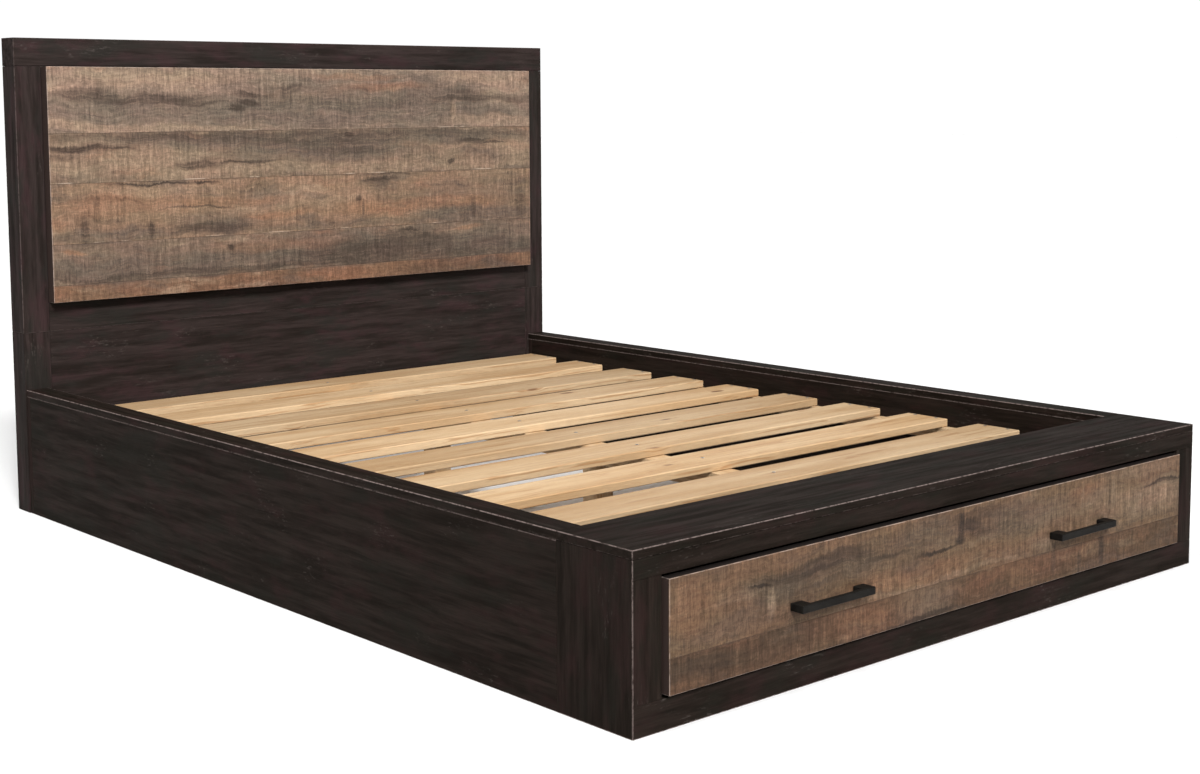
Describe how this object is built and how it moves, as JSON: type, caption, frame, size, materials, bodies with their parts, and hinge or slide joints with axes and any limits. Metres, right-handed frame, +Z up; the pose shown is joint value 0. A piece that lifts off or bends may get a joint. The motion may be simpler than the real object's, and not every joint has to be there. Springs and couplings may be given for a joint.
{
  "type": "storage bed frame",
  "caption": "Wooden bed frame with a raised plank-panel headboard, low hollow side rails, mattress slats and a wide drawer with bridge handles in the foot.",
  "frame": {"origin": "on the floor, in the middle of the bed's width and of its length from handle tips to headboard back", "axes": "+Y from the foot to the headboard, +X to the right for someone standing at the foot and facing the headboard, +Z up"},
  "size_m": [1.674, 2.328, 1.18],
  "materials": {
    "ebony_laminate": "satin near-black wood-grain laminate with lighter worn edges",
    "plank_laminate": "matt weathered rough-sawn plank print in tan, brown and grey",
    "slat_pine": "planed softwood, unfinished",
    "drawer_board": "satin dark wood-grain laminate",
    "handle_black": "matt black",
    "slide_steel": "zinc-plated"
  },
  "bodies": {
    "bed": {"headboard_top_rail": "ebony_laminate", "headboard_left_stile": "ebony_laminate", "headboard_right_stile": "ebony_laminate", "headboard_bottom_rail": "ebony_laminate", "headboard_plank_panel": "plank_laminate", "headboard_back_panel": "ebony_laminate", "headboard_left_leg": "ebony_laminate", "headboard_right_leg": "ebony_laminate", "headboard_lower_panel": "ebony_laminate", "headboard_left_batten": "ebony_laminate", "headboard_right_batten": "ebony_laminate", "left_rail_outer_board": "ebony_laminate", "left_rail_inner_board": "ebony_laminate", "left_rail_end_board": "ebony_laminate", "left_rail_cap": "ebony_laminate", "left_slat_ledger": "slat_pine", "right_rail_outer_board": "ebony_laminate", "right_rail_inner_board": "ebony_laminate", "right_rail_end_board": "ebony_laminate", "right_rail_cap": "ebony_laminate", "right_slat_ledger": "slat_pine", "foot_front_top_rail": "ebony_laminate", "foot_front_bottom_rail": "ebony_laminate", "foot_front_left_stile": "ebony_laminate", "foot_front_right_stile": "ebony_laminate", "foot_left_panel": "ebony_laminate", "foot_right_panel": "ebony_laminate", "foot_top_panel": "ebony_laminate", "foot_inner_board": "ebony_laminate", "left_runner_board": "drawer_board", "right_runner_board": "drawer_board", "drawer_bay_back": "drawer_board", "centre_rail": "slat_pine", "centre_leg_1": "slat_pine", "centre_leg_2": "slat_pine", "slat_01": "slat_pine", "slat_02": "slat_pine", "slat_03": "slat_pine", "slat_04": "slat_pine", "slat_05": "slat_pine", "slat_06": "slat_pine", "slat_07": "slat_pine", "slat_08": "slat_pine", "slat_09": "slat_pine", "slat_10": "slat_pine", "left_slide_outer": "slide_steel", "right_slide_outer": "slide_steel"},
    "drawer": {"drawer_front": "plank_laminate", "left_handle": "handle_black", "right_handle": "handle_black", "drawer_inner_front": "drawer_board", "drawer_left_side": "drawer_board", "drawer_right_side": "drawer_board", "drawer_back": "drawer_board", "drawer_bottom": "drawer_board", "drawer_bottom_brace": "drawer_board", "left_slide_inner": "slide_steel", "right_slide_inner": "slide_steel"},
    "left_slide": {"left_slide_middle": "slide_steel"},
    "right_slide": {"right_slide_middle": "slide_steel"}
  },
  "joints": [
    {"name": "drawer_slide", "type": "slide", "parent": "bed", "child": "drawer", "axis": [0, -1, 0], "range_m": [0, 0.4]},
    {"name": "left_middle_slide", "type": "slide", "parent": "bed", "child": "left_slide", "axis": [0, -1, 0], "range_m": [0, 0.2]},
    {"name": "right_middle_slide", "type": "slide", "parent": "bed", "child": "right_slide", "axis": [0, -1, 0], "range_m": [0, 0.2]}
  ],
  "couplings": [
    {"joint": "left_middle_slide", "follows": "drawer_slide", "ratio": 0.5},
    {"joint": "right_middle_slide", "follows": "drawer_slide", "ratio": 0.5}
  ]
}
